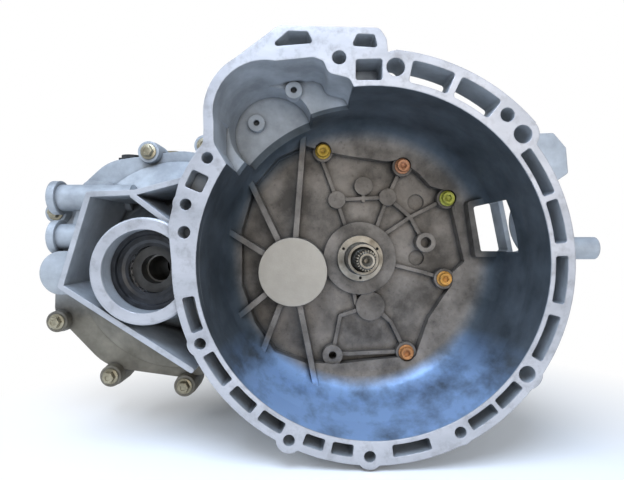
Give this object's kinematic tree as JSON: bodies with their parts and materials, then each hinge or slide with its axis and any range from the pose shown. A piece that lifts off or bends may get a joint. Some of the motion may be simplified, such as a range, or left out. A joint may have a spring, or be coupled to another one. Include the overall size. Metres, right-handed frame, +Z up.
{
  "type": "gearbox housing",
  "caption": "Manual transaxle seen into its bell: cast clutch housing, gear case and rear cover with input shaft, shift gears, differential, bearings, seals and shift lever.",
  "frame": {"origin": "input shaft's axis in the engine face of the clutch housing", "axes": "+Y along the shafts, away from the engine; +X to the right seen from the engine; +Z up as in the car"},
  "size_m": [0.57, 0.379, 0.3914],
  "materials": {
    "cast_alloy": "cast, rim machined",
    "case_alloy": "cast",
    "steel": "ground",
    "gear_steel": "oiled",
    "bearing_steel": "polished",
    "cast_iron": "machined",
    "bronze": "cast",
    "seal_rubber": "matt",
    "plastic": "matt",
    "plated_steel": "zinc plated",
    "yellow_paint": "painted",
    "copper_paint": "painted",
    "green_paint": "painted",
    "orange_paint": "painted"
  },
  "bodies": {
    "castings": {"breather": "plated_steel", "case_bolts": "plated_steel", "clutch_housing": "cast_alloy", "cover_bolts": "plated_steel", "diff_front_bearing_outer": "bearing_steel", "diff_front_seal": "seal_rubber", "diff_rear_bearing_outer": "bearing_steel", "diff_rear_seal": "seal_rubber", "drain_plug": "plated_steel", "filler_plug": "plated_steel", "gear_case": "case_alloy", "guide_sleeve": "steel", "inner_bolt_1": "yellow_paint", "inner_bolt_2": "copper_paint", "inner_bolt_3": "green_paint", "inner_bolt_4": "orange_paint", "inner_bolt_5": "copper_paint", "input_front_bearing_outer": "bearing_steel", "input_rear_bearing_outer": "bearing_steel", "output_front_bearing_outer": "bearing_steel", "output_rear_bearing_outer": "bearing_steel", "rear_cover": "case_alloy", "reverse_pin": "steel", "reverse_switch": "plastic", "selector_seal": "seal_rubber", "shift_rail": "steel", "speed_sensor": "plated_steel"},
    "input_train": {"input_shaft": "steel", "third_drive": "gear_steel", "fourth_drive": "gear_steel", "fifth_drive": "gear_steel", "input_front_bearing_inner": "bearing_steel", "input_rear_bearing_inner": "bearing_steel"},
    "output_train": {"output_shaft": "gear_steel", "hub_first_second": "gear_steel", "hub_third_fourth": "gear_steel", "hub_fifth": "gear_steel", "output_front_bearing_inner": "bearing_steel", "output_rear_bearing_inner": "bearing_steel"},
    "differential": {"diff_case": "cast_iron", "ring_gear": "gear_steel", "ring_bolts": "plated_steel", "cross_pin": "steel", "spider_gears": "gear_steel", "side_gears": "gear_steel", "diff_front_bearing_inner": "bearing_steel", "diff_rear_bearing_inner": "bearing_steel"},
    "selector": {"selector_shaft": "steel"},
    "reverse_idler_gear": {"reverse_idler": "gear_steel"},
    "first_idler": {"first_gear": "gear_steel"},
    "second_idler": {"second_gear": "gear_steel"},
    "third_idler": {"third_gear": "gear_steel"},
    "fourth_idler": {"fourth_gear": "gear_steel"},
    "fifth_idler": {"fifth_gear": "gear_steel"},
    "shift_sleeve_first_second": {"sleeve_first_second": "gear_steel"},
    "shift_fork_first_second": {"fork_first_second": "bronze"},
    "shift_sleeve_third_fourth": {"sleeve_third_fourth": "gear_steel"},
    "shift_fork_third_fourth": {"fork_third_fourth": "bronze"},
    "shift_sleeve_fifth": {"sleeve_fifth": "gear_steel"},
    "shift_fork_fifth": {"fork_fifth": "bronze"}
  },
  "joints": [
    {"name": "input_spin", "type": "hinge", "parent": "castings", "child": "input_train", "pos_m": [0, 0.1, 0], "axis": [0, 1, 0], "continuous": true},
    {"name": "differential_spin", "type": "hinge", "parent": "castings", "child": "differential", "pos_m": [-0.20546, 0.1, -0.00739], "axis": [0, 1, 0], "continuous": true},
    {"name": "output_spin", "type": "hinge", "parent": "castings", "child": "output_train", "pos_m": [-0.07515, 0.2, -0.01434], "axis": [0, 1, 0], "continuous": true},
    {"name": "first_idler_spin", "type": "hinge", "parent": "castings", "child": "first_idler", "pos_m": [-0.07515, 0.2, -0.01434], "axis": [0, 1, 0], "continuous": true},
    {"name": "second_idler_spin", "type": "hinge", "parent": "castings", "child": "second_idler", "pos_m": [-0.07515, 0.2, -0.01434], "axis": [0, 1, 0], "continuous": true},
    {"name": "third_idler_spin", "type": "hinge", "parent": "castings", "child": "third_idler", "pos_m": [-0.07515, 0.2, -0.01434], "axis": [0, 1, 0], "continuous": true},
    {"name": "fourth_idler_spin", "type": "hinge", "parent": "castings", "child": "fourth_idler", "pos_m": [-0.07515, 0.2, -0.01434], "axis": [0, 1, 0], "continuous": true},
    {"name": "fifth_idler_spin", "type": "hinge", "parent": "castings", "child": "fifth_idler", "pos_m": [-0.07515, 0.2, -0.01434], "axis": [0, 1, 0], "continuous": true},
    {"name": "reverse_idler_spin", "type": "hinge", "parent": "castings", "child": "reverse_idler_gear", "pos_m": [-0.0104, 0.15, -0.0404], "axis": [0, 1, 0], "continuous": true},
    {"name": "selector_turn", "type": "hinge", "parent": "castings", "child": "selector", "pos_m": [-0.06, 0.221, 0.1], "axis": [0, 0, 1], "range_deg": [-12, 12]},
    {"name": "shift_first_second", "type": "slide", "parent": "castings", "child": "shift_fork_first_second", "axis": [0, 1, 0], "range_m": [-0.006, 0.006]},
    {"name": "sleeve_first_second_slide", "type": "slide", "parent": "output_train", "child": "shift_sleeve_first_second", "axis": [0, 1, 0], "range_m": [-0.006, 0.006]},
    {"name": "shift_third_fourth", "type": "slide", "parent": "castings", "child": "shift_fork_third_fourth", "axis": [0, 1, 0], "range_m": [-0.006, 0.006]},
    {"name": "sleeve_third_fourth_slide", "type": "slide", "parent": "output_train", "child": "shift_sleeve_third_fourth", "axis": [0, 1, 0], "range_m": [-0.006, 0.006]},
    {"name": "shift_fifth", "type": "slide", "parent": "castings", "child": "shift_fork_fifth", "axis": [0, 1, 0], "range_m": [-0.006, 0.006]},
    {"name": "sleeve_fifth_slide", "type": "slide", "parent": "output_train", "child": "shift_sleeve_fifth", "axis": [0, 1, 0], "range_m": [-0.006, 0.006]}
  ],
  "couplings": [
    {"joint": "output_spin", "follows": "differential_spin", "ratio": -4.4375},
    {"joint": "first_idler_spin", "follows": "input_spin", "ratio": -0.25926},
    {"joint": "second_idler_spin", "follows": "input_spin", "ratio": -0.47826},
    {"joint": "third_idler_spin", "follows": "input_spin", "ratio": -0.74359},
    {"joint": "fourth_idler_spin", "follows": "input_spin", "ratio": -1},
    {"joint": "fifth_idler_spin", "follows": "input_spin", "ratio": -1.2667},
    {"joint": "sleeve_first_second_slide", "follows": "shift_first_second", "ratio": 1},
    {"joint": "sleeve_third_fourth_slide", "follows": "shift_third_fourth", "ratio": 1},
    {"joint": "sleeve_fifth_slide", "follows": "shift_fifth", "ratio": 1}
  ]
}
